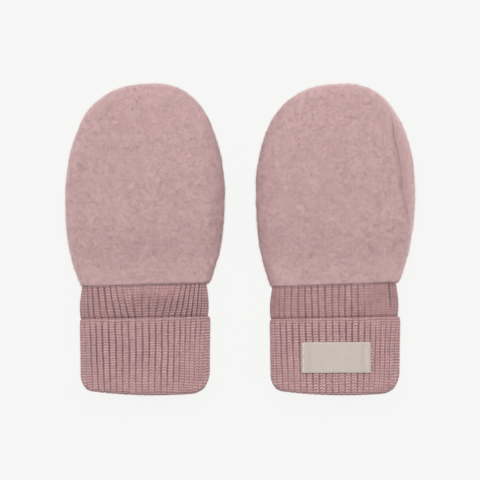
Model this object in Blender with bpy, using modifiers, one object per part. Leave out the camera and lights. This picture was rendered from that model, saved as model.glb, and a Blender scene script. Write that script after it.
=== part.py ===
"""A pair of thumbless baby mittens lying flat, side by side.

Each mitten is a pouch of two brushed fleece panels, seamed all round, on a tube of rib knit that is
folded at its lower edge and turned up over itself. The right cuff carries a small woven label.
Lengths are in metres. In a mitten's own terms, u runs across it, v along it from the cuff's fold to
the pouch's tip, and z is up from the surface that it lies on.
"""

import math
from collections import namedtuple

import bmesh
import bpy

COLLECTION = "baby_mittens"

# The pair
LENGTH = 0.150  # from the cuff's fold to the pouch's tip
AXIS_SPACING = 0.0915  # between the centre lines of the two mittens
SEAM_GAP = 0.0003  # between pieces that are sewn together

# The rib knit tube, as it lies: an oval with straight sides, several walls deep
KNIT = 0.0020  # thickness of the knit
TURN_UP_GAP = 0.0004  # between the turned-up wall and the wall that it covers
CUFF_HALF_WIDTH = 0.0313  # over the turned-up wall
HOLLOW_HALF_HEIGHT = 0.0026  # of the flattened space for the hand
TURN_UP_HEIGHT = 0.0372  # of the turned-up wall's top edge, at the centre line
SEAM_HEIGHT = 0.0530  # of the seam between the cuff and the pouch
CROWN = 0.0010  # how far the upper side stands over a flat one
RIBS = 44
RIB_POINTS = 3  # points of a section for each rib: the groove and two shoulders
GROOVE_DEPTH = 0.0006
PLAIN_EDGE = 0.0012  # the turned-up wall is plain this far below its rounded top edge
GROOVES_FADE_BELOW = 0.0030  # near the surface that the cuff is pressed on
SAG = 2.2  # curvature of the folded edge, in 1/m
SAG_CENTRE = 0.0040
CORNER_RADIUS = 0.0060  # of the folded edge's two corners
LIFT_ENDS_AT = 0.0300  # height where the folded edge's shape is no longer felt

# The band between the turn-up and the pouch puffs out where the turn-up lets go of it
BAND_SPREAD = 0.0014
BAND_SPREAD_FROM = 0.0366
BAND_SPREAD_TO = 0.0390
BAND_NARROWING = 0.0006  # up to the seam
BAND_LOFT = 0.0004
BAND_BULGE = 0.0008  # halfway up the band
BAND_HEIGHTS = (0.0378, 0.0390, 0.0430, 0.0480)  # of the sections between the turn-up and the seam
PUCKER_WIDTH = 0.0150
PUCKER_ENDS_AT = 0.0510

# The fleece pouch
FLEECE = 0.0030  # thickness of the fleece
FLEECE_OVERLAP = 0.0012  # how far the fleece stands over the band at their seam
POUCH_HALF_WIDTH = 0.0390
POUCH_WIDEST_AT = 0.0960
POUCH_NARROWING = 0.20  # share of the width that is lost down to the cuff
NARROWING_POWER = 2.2
TIP_POWER = 0.40  # roundness of the outline at the tip
POUCH_LOFT = 0.0102  # of the upper side over the side seam
POUCH_FILLS_BY = 0.0850
NOSE_POWER = 2.5
UNDERSIDE_PRESS = 0.0010  # how much the lower side is flattened on the surface
SIDE_SEAM_HEIGHT = 0.0070
TIP_SEAM_HEIGHT = 0.0050
CUFF_FORM_ENDS_AT = 0.0740  # above this the pouch no longer has the cuff's section
CROWN_POWER = 2.2
UNDERSIDE_SHOULDER = 4.0  # how squarely the lower side turns up to its seams
ROLL_FROM, ROLL_FULL_AT, ROLL_FADES_FROM = 0.0620, 0.1030, 0.1240  # of the seam that rolls onto the top
SEAM_PINCH = 0.0007  # how far the thread pulls the fleece in at the side seams

# The woven label on the right cuff
LABEL_LEFT, LABEL_RIGHT = -0.0162, 0.0171
LABEL_LOW, LABEL_HIGH = 0.0107, 0.0256
LABEL_THICKNESS = 0.0008

# How finely the sections are drawn
PANEL_SECTIONS = 20
PANEL_COLUMNS = 20
TIP_WEIGHT = 0.45  # share of the sections' spacing that crowds at the tip alone
SEAM_CROWDING = 0.60  # how much the columns crowd at the side seams
FOLD_STEPS = 4
LABEL_COLUMNS, LABEL_ROWS = 12, 2

# Colours are linear, roughness as a Principled BSDF takes it
Finish = namedtuple("Finish", "colour roughness")
FLEECE_FINISH = Finish((0.539, 0.352, 0.350), 0.95)
RIB_FINISH = Finish((0.430, 0.262, 0.262), 0.90)
LABEL_FINISH = Finish((0.578, 0.515, 0.468), 0.70)

# What differs between the two mittens. The slopes are rise over run, along +u. An inner shoulder faces
# the other mitten. seam_roll is the share of a section by which the right-hand side seam lies on top. The
# gathers are how far the band's ribs lean towards its middle where it meets the turn-up.
Mitten = namedtuple(
    "Mitten",
    "name side hem_slope seam_slope left_shoulder right_shoulder seam_roll left_gather right_gather"
    " pucker pucker_at",
)
MITTENS = (
    Mitten("left", -1, 0.022, 0.029, 3.6, 2.5, 0.000, 0.0038, 0.0050, 0.0015, 0.0120),
    Mitten("right", 1, 0.020, 0.036, 2.5, 3.6, 0.062, 0.0020, 0.0000, 0.0006, -0.0120),
)

TURN_UP_OUTSIDE = 2 * KNIT + TURN_UP_GAP
CUFF_RADIUS = HOLLOW_HALF_HEIGHT + TURN_UP_OUTSIDE
CUFF_MIDDLE = CUFF_RADIUS  # height of the cuff's middle, so that its lower side lies at zero
CUFF_STRAIGHT = CUFF_HALF_WIDTH - CUFF_RADIUS
BAND_RADIUS = HOLLOW_HALF_HEIGHT + KNIT + BAND_LOFT
# Share of a quarter section that its round end takes
ARC_SHARE = CUFF_RADIUS * math.pi / 2 / (CUFF_RADIUS * math.pi / 2 + CUFF_STRAIGHT)


def smooth(low, high, x):
    """A smooth step from 0 at low to 1 at high."""
    t = min(1.0, max(0.0, (x - low) / (high - low)))
    return t * t * (3 - 2 * t)


def quarter(share):
    """The quarter that a share of a section lies in, as the signs of u and z, and how far from its side."""
    turns = (share % 1.0) * 4
    index = int(turns)
    along = turns - index
    if index in (1, 3):
        along = 1 - along
    return (1 if index in (0, 3) else -1), (1 if index < 2 else -1), along


def oval(share, straight, radius):
    """A point of a flattened oval, with the outward direction there. Share 0 is its right-hand side."""
    sign_u, sign_z, along = quarter(share)
    if along < ARC_SHARE:
        angle = along / ARC_SHARE * math.pi / 2
        out_u, out_z = math.cos(angle), math.sin(angle)
        u, z = straight + radius * out_u, radius * out_z
    else:
        out_u, out_z = 0.0, 1.0
        u, z = straight * (1 - along) / (1 - ARC_SHARE), radius
    return sign_u * u, sign_z * z, sign_u * out_u, sign_z * out_z


def share_above(u):
    """The share of a section at which the cuff's upper side has this u."""
    along = ARC_SHARE + (1 - ARC_SHARE) * (1 - abs(u) / CUFF_STRAIGHT)
    return along / 4 if u >= 0 else 0.5 - along / 4


def slope_at(mitten, v):
    """How much the knit's rows rise to the right at this height."""
    if v < TURN_UP_HEIGHT:
        return mitten.hem_slope * v / TURN_UP_HEIGHT
    part = (v - TURN_UP_HEIGHT) / (SEAM_HEIGHT - TURN_UP_HEIGHT)
    return mitten.hem_slope + (mitten.seam_slope - mitten.hem_slope) * part


def fold_lift(u):
    """How far the cuff's folded edge lies above its lowest point: a shallow sag with two round corners."""
    past = max(0.0, abs(u) - (CUFF_HALF_WIDTH - CORNER_RADIUS))
    corner = CORNER_RADIUS - math.sqrt(max(0.0, CORNER_RADIUS**2 - past**2))
    return SAG * (u - SAG_CENTRE) ** 2 + corner


def crown_at(u, z, radius):
    """The extra height of the upper side, which fades out at the round ends."""
    return CROWN * max(0.0, z / radius) * (1 - min(1.0, abs(u) / CUFF_HALF_WIDTH) ** 2)


def cuff_point(mitten, share, depth, v, groove, band):
    """A point of the cuff. Depth is measured outward from the hollow, and band is false on the turn-up."""
    free = smooth(BAND_SPREAD_FROM, BAND_SPREAD_TO, v) if band else 0.0
    spread = BAND_SPREAD - BAND_NARROWING * smooth(BAND_SPREAD_TO, SEAM_HEIGHT, v)
    up_band = min(1.0, max(0.0, (v - BAND_SPREAD_FROM) / (SEAM_HEIGHT - BAND_SPREAD_FROM)))
    bulge = BAND_BULGE * math.sin(math.pi * up_band) if band else 0.0
    radius = HOLLOW_HALF_HEIGHT + depth + BAND_LOFT * free + bulge
    u, z, out_u, out_z = oval(share, CUFF_STRAIGHT + spread * free, radius)
    if groove:
        height = CUFF_MIDDLE + z
        sunk = GROOVE_DEPTH * smooth(0.0, GROOVES_FADE_BELOW, height)
        u -= out_u * sunk
        z -= out_z * sunk
    z += crown_at(u, z, radius)
    if band:
        # The ribs draw together towards the turn-up, and the upper side dips there
        pull = free * (1 - smooth(BAND_SPREAD_TO, SEAM_HEIGHT, v))
        gather = mitten.right_gather if u > 0 else mitten.left_gather
        u -= gather * pull * math.sin(math.pi * u / CUFF_HALF_WIDTH) * abs(out_z)
        near = math.exp(-(((u - mitten.pucker_at) / PUCKER_WIDTH) ** 2))
        dip = free * (1 - smooth(BAND_SPREAD_FROM, PUCKER_ENDS_AT, v))
        z -= mitten.pucker * near * dip * max(0.0, out_z)
    lift = fold_lift(u) * max(0.0, 1 - v / LIFT_ENDS_AT)
    return u, v + lift + slope_at(mitten, v) * u, CUFF_MIDDLE + z


def pouch_half_width(v, inset):
    """The pouch's outline, or that of its inside at this inset."""
    widest = POUCH_HALF_WIDTH - inset
    if v < POUCH_WIDEST_AT:
        down = (POUCH_WIDEST_AT - v) / (POUCH_WIDEST_AT - SEAM_HEIGHT)
        return widest * (1 - POUCH_NARROWING * down**NARROWING_POWER)
    up = (v - POUCH_WIDEST_AT) / (LENGTH - inset - POUCH_WIDEST_AT)
    return widest * max(0.0, 1 - up**2) ** TIP_POWER


def nose(v, inset):
    """How the pouch's depth shrinks to nothing at the tip."""
    up = max(0.0, (v - POUCH_WIDEST_AT) / (LENGTH - inset - POUCH_WIDEST_AT))
    return math.sqrt(max(0.0, 1 - up**NOSE_POWER))


def side_seam_height(v):
    return SIDE_SEAM_HEIGHT + (TIP_SEAM_HEIGHT - SIDE_SEAM_HEIGHT) * smooth(POUCH_WIDEST_AT, LENGTH, v)


def way_along(step):
    """How far along the pouch its sections lie: closer together at both ends, the most at the tip."""
    at_tip = math.sin(step * math.pi / 2)
    at_both_ends = (1 - math.cos(step * math.pi)) / 2
    return TIP_WEIGHT * at_tip + (1 - TIP_WEIGHT) * at_both_ends


def pouch_point(mitten, share, step, inset, pinch):
    """A point of the pouch: step runs from 0 at the cuff's seam to 1 at the tip."""
    start = SEAM_HEIGHT + SEAM_GAP
    along = way_along(step)
    v = start + (LENGTH - inset - start) * along
    radius = BAND_RADIUS + FLEECE_OVERLAP
    straight = pouch_half_width(v, 0.0) - radius
    cuff_u, cuff_z, _, _ = oval(share, straight, radius - inset)
    cuff_z += crown_at(cuff_u, cuff_z, radius - inset)

    flat_u, flat_z, _, _ = oval(share, CUFF_STRAIGHT, CUFF_RADIUS)
    across = flat_u / CUFF_HALF_WIDTH
    shoulder = mitten.right_shoulder if across > 0 else mitten.left_shoulder
    half_width = pouch_half_width(v, inset)
    seam = side_seam_height(v)
    if flat_z >= 0:
        form = max(0.0, 1 - abs(across) ** shoulder) ** (1 / CROWN_POWER)
        full = BAND_RADIUS + (POUCH_LOFT - BAND_RADIUS) * smooth(SEAM_HEIGHT, POUCH_FILLS_BY, v)
        z = seam + (full - inset) * nose(v, inset) * form
    else:
        form = math.sqrt(max(0.0, 1 - abs(across) ** UNDERSIDE_SHOULDER))
        z = max(inset, seam - (seam + UNDERSIDE_PRESS - inset) * nose(v, inset) * form)

    away = smooth(SEAM_HEIGHT, CUFF_FORM_ENDS_AT, v)
    u = cuff_u + (half_width * across - cuff_u) * away
    z = CUFF_MIDDLE + cuff_z + (z - CUFF_MIDDLE - cuff_z) * away
    if pinch:
        u -= math.copysign(min(SEAM_PINCH, abs(u)), u)
    v += mitten.seam_slope * u * (1 - along) ** 2
    return u, v, z


def seam_shares(mitten, v):
    """Where the right-hand and the left-hand side seams lie in a section of the pouch."""
    rolled = smooth(ROLL_FROM, ROLL_FULL_AT, v) * (1 - smooth(ROLL_FADES_FROM, LENGTH, v))
    return mitten.seam_roll * rolled, 0.5


def panel_section(mitten, step, front):
    """One closed section through a panel's wall: its outside from seam to seam, then its inside back."""
    height = SEAM_HEIGHT + (LENGTH - SEAM_HEIGHT) * way_along(step)
    right, left = seam_shares(mitten, height)
    first, last = (right, left) if front else (left, 1 + right)
    shift = SEAM_GAP / 2 if front else -SEAM_GAP / 2
    margin = SEAM_GAP / 2 / (4 * (CUFF_RADIUS * math.pi / 2 + CUFF_STRAIGHT))
    shares = []
    for column in range(PANEL_COLUMNS + 1):
        across = column / PANEL_COLUMNS
        eased = across - SEAM_CROWDING * math.sin(2 * math.pi * across) / (2 * math.pi)
        shares.append(first + margin + (last - first - 2 * margin) * eased)
    outside, inside = [], []
    for column, share in enumerate(shares):
        at_seam = column in (0, PANEL_COLUMNS)
        for inset, row in ((0.0, outside), (FLEECE, inside)):
            u, v, z = pouch_point(mitten, share, step, inset, at_seam and inset == 0.0)
            row.append((u, v, max(inset, z + shift)))
    return outside + inside[::-1]


def ring_of(bm, points):
    return [bm.verts.new(point) for point in points]


def bridge(bm, first, second):
    """Faces between two closed rings, of which one may have several points for each of the other's."""
    if len(first) < len(second):
        many, few, turned = second, first, True
    else:
        many, few, turned = first, second, False
    ratio = len(many) // len(few)
    for i, corner in enumerate(few):
        following = few[(i + 1) % len(few)]
        group = [many[(i * ratio + k) % len(many)] for k in range(ratio + 1)]
        faces = [[a, b, corner] for a, b in zip(group[:-2], group[1:-1])]
        faces.append([group[-2], group[-1], following, corner])
        for face in faces:
            bm.faces.new(face[::-1] if turned else face)


def finish_object(mitten, name, bm, material, smooth_angle=math.radians(50)):
    """The object of a piece that was drawn in its mitten's own terms, put at that mitten's place."""
    name = f"{mitten.name}_{name}"
    bmesh.ops.remove_doubles(bm, verts=bm.verts, dist=1e-6)
    bmesh.ops.recalc_face_normals(bm, faces=bm.faces)
    mesh = bpy.data.meshes.new(name)
    bm.to_mesh(mesh)
    bm.free()
    mesh.shade_smooth()
    mesh.set_sharp_from_angle(angle=smooth_angle)
    mesh.materials.append(material)
    obj = bpy.data.objects.new(name, mesh)
    obj.location = (mitten.side * AXIS_SPACING / 2, -LENGTH / 2, 0)
    bpy.data.collections[COLLECTION].objects.link(obj)
    return obj


def make_panel(mitten, front, material):
    """A wall of fleece, lofted through its sections. Its last section closes to the tip's seam."""
    bm = bmesh.new()
    sections = [
        ring_of(bm, panel_section(mitten, i / PANEL_SECTIONS, front)) for i in range(PANEL_SECTIONS + 1)
    ]
    for first, second in zip(sections, sections[1:]):
        bridge(bm, first, second)
    cut_edge = sections[0]
    for column in range(PANEL_COLUMNS):
        inner = len(cut_edge) - 1 - column
        bm.faces.new((cut_edge[column], cut_edge[column + 1], cut_edge[inner - 1], cut_edge[inner]))
    return finish_object(mitten, "front" if front else "back", bm, material)


def half_circle(middle, radius, height, start, way):
    """Depths and heights round a fold, from the start angle through half a turn."""
    points = []
    for i in range(FOLD_STEPS + 1):
        angle = math.radians(start + way * 180 * i / FOLD_STEPS)
        points.append((middle + radius * math.cos(angle), height + radius * math.sin(angle)))
    return points


def cuff_outline():
    """The cuff's wall in section, as rows of depth, height, ribbed or plain, and band or turn-up."""
    fold = TURN_UP_OUTSIDE / 2
    top = TURN_UP_HEIGHT - KNIT / 2
    rows = [(0.0, v, False, True) for v in (SEAM_HEIGHT, *BAND_HEIGHTS[:0:-1], BAND_SPREAD_FROM)]
    for i, (depth, v) in enumerate(half_circle(fold, fold, fold, 180, 1)):
        rows.append((depth, v, i >= FOLD_STEPS / 2, False))
    rows.append((TURN_UP_OUTSIDE, top - PLAIN_EDGE, True, False))
    edge = half_circle(TURN_UP_OUTSIDE - KNIT / 2, KNIT / 2, top, 0, 1)
    between = half_circle(fold, TURN_UP_GAP / 2, fold, 0, -1)[::2]
    rows += [(depth, v, False, False) for depth, v in edge + between]
    rows += [(KNIT, v, True, True) for v in (BAND_SPREAD_FROM, *BAND_HEIGHTS, SEAM_HEIGHT)]
    return rows


def make_cuff(mitten, material):
    """The rib tube, as one wall from its seam down to the fold and up again to the turned-up edge."""
    bm = bmesh.new()
    rings = []
    for depth, v, ribbed, band in cuff_outline():
        count = RIBS * RIB_POINTS if ribbed else RIBS
        every = RIB_POINTS if ribbed else 1
        points = []
        for i in range(count):
            share = (i + every / 2) / count
            points.append(cuff_point(mitten, share, depth, v, ribbed and i % every == 0, band))
        rings.append(ring_of(bm, points))
    for first, second in zip(rings, rings[1:] + rings[:1]):
        bridge(bm, first, second)
    return finish_object(mitten, "cuff", bm, material)


def make_label(mitten, material):
    """A woven strip that lies on the turned-up wall, made from that wall's points moved out."""
    bm = bmesh.new()
    depth = TURN_UP_OUTSIDE + SEAM_GAP
    rows = []
    for j in range(LABEL_ROWS + 1):
        v = LABEL_LOW + (LABEL_HIGH - LABEL_LOW) * j / LABEL_ROWS
        row = []
        for i in range(LABEL_COLUMNS + 1):
            u = LABEL_LEFT + (LABEL_RIGHT - LABEL_LEFT) * i / LABEL_COLUMNS
            row.append(bm.verts.new(cuff_point(mitten, share_above(u), depth, v, False, False)))
        rows.append(row)
    for low, high in zip(rows, rows[1:]):
        for i in range(LABEL_COLUMNS):
            bm.faces.new((low[i], low[i + 1], high[i + 1], high[i]))
    obj = finish_object(mitten, "label", bm, material)
    wall = obj.modifiers.new("thickness", "SOLIDIFY")
    wall.thickness = LABEL_THICKNESS
    wall.offset = 1
    return obj


def make_material(name, finish):
    material = bpy.data.materials.new(name)
    material.use_nodes = True
    shader = material.node_tree.nodes["Principled BSDF"]
    shader.inputs["Base Color"].default_value = (*finish.colour, 1)
    shader.inputs["Roughness"].default_value = finish.roughness
    shader.inputs["Metallic"].default_value = 0.0
    return material


def main():
    for obj in list(bpy.data.objects):
        bpy.data.objects.remove(obj)
    collection = bpy.data.collections.new(COLLECTION)
    bpy.context.scene.collection.children.link(collection)
    fleece = make_material("fleece", FLEECE_FINISH)
    rib = make_material("rib", RIB_FINISH)
    woven = make_material("woven_label", LABEL_FINISH)
    for mitten in MITTENS:
        make_panel(mitten, True, fleece)
        make_panel(mitten, False, fleece)
        make_cuff(mitten, rib)
    make_label(MITTENS[1], woven)


main()
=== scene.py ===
"""The looks of a pair of thumbless baby mittens: brushed fleece pouches on turned-up rib knit cuffs.

Each CAD node is replaced by a finer wall of the same form, worked out from the same sizes. In a mitten's
own terms, u runs across it, v along it from the cuff's fold to the pouch's tip, z is up from the floor,
and a section's share goes round it from its right-hand side, over the top. Lengths are in metres.
"""

import itertools
import math
from collections import namedtuple

import bpy
import numpy as np
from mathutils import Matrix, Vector


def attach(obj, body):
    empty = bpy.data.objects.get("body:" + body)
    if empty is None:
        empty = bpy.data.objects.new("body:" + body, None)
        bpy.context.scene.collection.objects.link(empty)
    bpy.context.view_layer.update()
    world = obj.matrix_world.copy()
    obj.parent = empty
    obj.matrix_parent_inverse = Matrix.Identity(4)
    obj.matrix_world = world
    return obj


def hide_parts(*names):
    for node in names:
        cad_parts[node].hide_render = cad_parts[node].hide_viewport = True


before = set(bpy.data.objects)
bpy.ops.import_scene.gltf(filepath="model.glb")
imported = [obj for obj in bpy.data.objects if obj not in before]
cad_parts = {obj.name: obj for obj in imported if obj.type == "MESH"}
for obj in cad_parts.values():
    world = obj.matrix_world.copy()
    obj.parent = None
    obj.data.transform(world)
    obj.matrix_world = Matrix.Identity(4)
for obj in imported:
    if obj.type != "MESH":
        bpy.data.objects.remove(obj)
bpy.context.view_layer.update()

# The pair, as it is packed
LENGTH = 0.150
AXIS_SPACING = 0.0915
SEAM_GAP = 0.0003

# The rib knit tube
KNIT = 0.0020
TURN_UP_GAP = 0.0004
CUFF_HALF_WIDTH = 0.0313
HOLLOW_HALF_HEIGHT = 0.0026
TURN_UP_HEIGHT = 0.0372
SEAM_HEIGHT = 0.0530
CROWN = 0.0010
PLAIN_EDGE = 0.0020
GROOVES_FADE_BELOW = 0.0030
SAG, SAG_CENTRE = 2.2, 0.0040
LEFT_CORNER, RIGHT_CORNER = 0.0060, 0.0085  # radii of the folded edge's corners
LIFT_ENDS_AT = 0.0300
BAND_SPREAD, BAND_SPREAD_FROM, BAND_SPREAD_TO = 0.0014, 0.0360, 0.0380
BAND_NARROWING = 0.0006
RIGHT_BAND_INSET, INSET_FROM, INSET_FULL = 0.0008, 0.5, 1.0
FAN_POWER, FAN_OPENS = 0.65, 0.26  # how the band's ribs spread out from its middle, up to the seam
BAND_CROWDING = 0.09  # how much closer together the ribs lie in the band's middle
BAND_LOFT, BAND_BULGE = 0.0004, 0.0008
PUCKER_WIDTH, PUCKER_ENDS_AT = 0.0150, 0.0510
HIDDEN_SECTIONS = (0.034, 0.018)  # heights of the few sections between the band and the fold
INSIDE_ROWS, INSIDE_SECTIONS, INSIDE_STARTS = 16, 12, 20  # the last is counted in steps from the fold

# The fleece pouch
FLEECE = 0.0030
FLEECE_OVERLAP = 0.0012
POUCH_HALF_WIDTH, POUCH_WIDEST_AT = 0.0390, 0.0960
POUCH_NARROWING, NARROWING_POWER = 0.20, 2.2
TIP_POWER = 0.375
POUCH_LOFT, POUCH_FILLS_BY = 0.0102, 0.0850
NOSE_POWER = 2.5
UNDERSIDE_PRESS, UNDERSIDE_SHOULDER = 0.0010, 4.0
SIDE_SEAM_HEIGHT, TIP_SEAM_HEIGHT = 0.0070, 0.0050
CUFF_FORM_ENDS_AT = 0.0740
CROWN_POWER = 2.2
ROLL_FROM, ROLL_FULL_AT, ROLL_FADES_FROM = 0.0620, 0.1030, 0.1240

Waves = namedtuple("Waves", "size amount seed")  # a layer of noise
Patch = namedtuple("Patch", "u v wide high amount")  # a soft spot of the knit, and how strong it is

# The knit's ribs
RIB_COLUMNS, HIDDEN_RIB_COLUMNS = 10, 4  # for each rib that shows, and for each one underneath
DRAWN_RIBS = 46
RIB_ORIGIN = -0.00128  # u of the groove from which the ribs are counted
RIB_SAMPLES = 4001  # points of the section at which the ribs are counted
FACING_DOWN = -0.99  # z of the outward direction
CROWDED = ((0.0235, 0.0090, 0.36), (-0.0270, 0.0050, 0.15))  # where ribs lie closer: place, width, amount
ONCE_ROUND = 0.141  # the length of a section, for shifting the ribs along it
RIB_WANDER = (Waves(0.011, 0.00030, 11), Waves(0.004, 0.00015, 12))
RIB_LEAN = 0.042  # how much the turned-up ribs draw together towards the fold
EDGE_RIBBED, FOLD_PLAIN, FOLD_PLAIN_POWER = 0.12, 0.6, 0.7  # the ribs at the top edge and at the fold
TURN_UP_PLUMP, PLUMP_AT, PLUMP_WIDTH = 0.0005, 0.0335, 0.0035  # the turned-up wall under its top edge
TURN_UP_TAPER = 0.012  # how much narrower the fold is than that edge

# The knit's stitches. Across a rib, 0 is its middle and 1 the groove's.
STITCH_ROW = 0.00127  # height of one row of stitches
ROWS_DRAWN = 4  # sections for each row of stitches
GROOVE_RELIEF, STITCH_RELIEF, PURL_RELIEF = 0.00110, 0.00042, 0.00036
STITCH_SLANT = 0.50  # rows by which a stitch's legs rise from its middle to its sides
RIB_SIDE, RIB_MIDDLE = (0.54, 1.0), (0.0, 0.24)
LEG_STARTS, LEG_ENDS = (0.04, 0.26), (0.60, 0.84)
PURL_STARTS, PURL_PHASE = (0.62, 0.90), 0.35
MIDDLE_SINKS = 0.45  # of a stitch's height
GROOVE_STRETCH, PURL_STRETCH = 0.55, 0.8  # how much lower and higher these are where it is stretched
ROW_WANDER = (Waves(0.012, 0.35, 13), Waves(0.0025, 0.20, 14))  # in rows
THREAD_WAVES = Waves(0.0008, 0.00006, 15)
RIB_WAVES = Waves(0.014, 0.18, 17)
INSIDE_RELIEF, PLAIN_RELIEF = 0.5, 0.3  # of the full relief, inside the tube and at the plain edges
PLAIN_COLUMNS_A_RIB = 2  # columns of stitches in the place of one rib, at the plain edges
CALM_FLATTENS = 0.8  # of the relief, in a calm spot
MITTENS_APART = 0.05  # keeps the noise of the two mittens different

# Where the knit is stretched
LOW_STRETCH, LOW_STRETCH_UNTIL = 0.40, (0.004, 0.020)
RIGHT_STRETCH, RIGHT_STRETCH_FROM = 0.35, (0.012, 0.022)
STRETCH_WAVES = Waves(0.010, 0.35, 19)

# How light the knit looks: painted shade and painted highlights of its relief, with some uneven tone
GROOVE_SHADE = 0.62
BAR_LIGHT, BAR_LIGHT_STRETCH = 0.45, 0.80
LEG_LIGHT, LEG_LIGHT_POWER, LEG_SHADE = 1.40, 1.5, 0.46
MIDDLE_SHADE, MIDDLE_SHADE_STRETCH = 0.22, 0.20
# PLAIN_SHADE is painted shade on the plain top edge and fold
PLAIN_DETAIL, PLAIN_SHADE = 0.7, 0.20
CALM_COLUMNS, CALM_ROWS, CALM_COLUMNS_A_RIB = 0.09, 0.08, 3  # the fine lines in a calm spot
SHADE_WAVES, DARKEST = Waves(0.0013, 0.13, 25), 0.25
# The LINE_ values paint shade down the last groove of the right band
LINE_SHADE, LINE_AT, LINE_WIDTH, LINE_FROM = 0.28, 0.0270, 0.0007, (0.040, 0.043)  # on the right band
TURN_UP_SHADOW, TURN_UP_SHADOW_UNTIL = 0.45, (0.0372, 0.0388)
SEAM_SHADOW, SEAM_SHADOW_FROM = 0.20, (0.0520, 0.0530)
EDGE_SHADOW = 0.25

# The fleece's surface
PILE_DEPTH = 0.0003  # how far the cloth lies under the CAD's surface
CUFF_EDGE_ROUNDING, SIDE_ROUNDING = 0.0014, 0.0005  # radii with which the fleece turns in at its seams
SEAM_TROUGH_DEPTH, SEAM_TROUGH_WIDTH = 0.0007, 0.0020
TROUGH_WAVES = Waves(0.0032, 0.35, 41)
TROUGH_SHALLOW, TROUGH_DEEPENS = 0.3, (0.070, 0.085)
TROUGH_FADE, TROUGH_FADES = 0.8, (0.124, 0.136)
MOST_INSET, INSET_FROM_CUFF = 0.75, 0.02  # of the cloth's thickness, and for each metre from the cuff
SEWN_GAP = 0.00006  # between the two panels
PRESSED_IN, PRESSED_AT, PRESSED_WIDTH = 0.0005, 0.0030, 0.0016  # the back panel beside the seam on top
PRESSED_FROM, PRESSED_UNTIL = (0.080, 0.095), (0.128, 0.142)
TIP_CALM, FLOOR_CALM, SEAM_CALM = 0.006, 0.004, 0.0008  # how far the relief stays away from these
PANEL_SECTIONS = 180
FRONT_COLUMNS, BACK_COLUMNS, INSIDE_EVERY = 192, 132, 6  # the inside has one column in six
TIP_WEIGHT = 0.45  # share of the sections' crowding that is at the tip alone
TIP_SLOPE, TIP_SLOPE_POWER = 0.060, 8  # how much the tip rises to the right
FRONT_CROWDING, BACK_CROWDING = 0.60, 0.75
LINING_LOWEST = 0.8  # of the cloth's thickness
BROAD_RELIEF = (Waves(0.0280, 0.00045, 3), Waves(0.0090, 0.00016, 5))
FINE_RELIEF = (Waves(0.0026, 0.00014, 7), Waves(0.0013, 0.00018, 9))

# How light the fleece looks: painted shade and painted highlights
# FINE_SHADE paints shade in the fine relief's hollows and highlights on its bumps
FINE_SHADE = 300  # for each metre of the fine relief
# CREASE_ values paint shade along the rolled seam's crease
CREASE_SHADE, CREASE_WIDTH = 0.09, 0.0014
CREASE_FROM, CREASE_UNTIL = (0.078, 0.092), (0.124, 0.136)
# A painted rim light on the steep sides, fading out towards the inner side
STEEP, UNDERNEATH = (0.3, 0.96), (-0.6, 0.1)
RIM_FADES, INNER_SIDE = (0.2, 0.8), (0.70, 0.95)
CUFF_SEAM_SHADE, CUFF_SEAM_SHADE_UNTIL = 0.15, (0.0002, 0.0010)

# The fleece's pile
PILE_FIBRES, PANEL_AREA = 62000, 0.0075  # about as many fibres as a front panel has, and its area
PILE_LENGTH, PILE_WIDTH = 0.0012, 0.00010
PILE_FROM, PILE_LOWEST = 0.0012, 0.0002
PILE_WAVES = Waves(0.0028, 1.8, 21)
PILE_RISE, STEEPER, STEEPER_SHARE = (0.08, 0.55), 0.35, 0.2  # how far a fibre rises for its length
LENGTH_RANGE, WIDTH_RANGE, PILE_TWIST = (0.6, 1.25), (0.7, 1.3), 0.5
ROOT_RANGE = (-0.0001, 0.0002)
# ROOT_SHADE is painted shade at the fibres' roots, TIP_LIGHT makes their tips lighter
PILE_SHADES, ROOT_SHADE, TIP_LIGHT = 0.06, -0.12, 0.10

Mitten = namedtuple(
    "Mitten",
    "name side hem_slope seam_slope left_shoulder right_shoulder seam_roll left_fan right_fan"
    " pucker pucker_at band_shade band_detail rim inner_shade stretched calm calm_detail calm_shade dim",
)
LEFT = Mitten(
    name="left", side=-1,
    hem_slope=0.022, seam_slope=0.029,
    left_shoulder=3.6, right_shoulder=2.5, seam_roll=0.000,
    left_fan=0.0048, right_fan=0.0056, pucker=0.0015, pucker_at=0.0120,
    band_shade=0.13, band_detail=0.95, rim=0.27, inner_shade=0.12,
    stretched=(Patch(0.0025, 0.0510, 0.0120, 0.0055, 0.8),),
    calm=(Patch(0.0025, 0.0520, 0.0115, 0.0055, 0.90),),
    calm_detail=2.0, calm_shade=-0.04,
    dim=(Patch(0.0035, 0.0430, 0.0110, 0.0055, 0.14),),
)
RIGHT = Mitten(
    name="right", side=1,
    hem_slope=0.020, seam_slope=0.036,
    left_shoulder=2.5, right_shoulder=3.6, seam_roll=0.062,
    left_fan=0.0014, right_fan=0.0000, pucker=0.0006, pucker_at=-0.0120,
    band_shade=0.12, band_detail=0.72, rim=0.38, inner_shade=0.09,
    stretched=(Patch(0.0205, 0.0450, 0.0060, 0.0110, 0.9),),
    calm=(Patch(0.0205, 0.0460, 0.0065, 0.0085, 0.95), Patch(-0.0270, 0.0460, 0.0060, 0.0100, 0.5)),
    calm_detail=1.0, calm_shade=-0.17,
    dim=(),
)

TURN_UP_OUTSIDE = 2 * KNIT + TURN_UP_GAP
CUFF_RADIUS = HOLLOW_HALF_HEIGHT + TURN_UP_OUTSIDE
CUFF_MIDDLE = CUFF_RADIUS
CUFF_STRAIGHT = CUFF_HALF_WIDTH - CUFF_RADIUS
BAND_RADIUS = HOLLOW_HALF_HEIGHT + KNIT + BAND_LOFT
ARC_SHARE = CUFF_RADIUS * math.pi / 2 / (CUFF_RADIUS * math.pi / 2 + CUFF_STRAIGHT)

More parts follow.
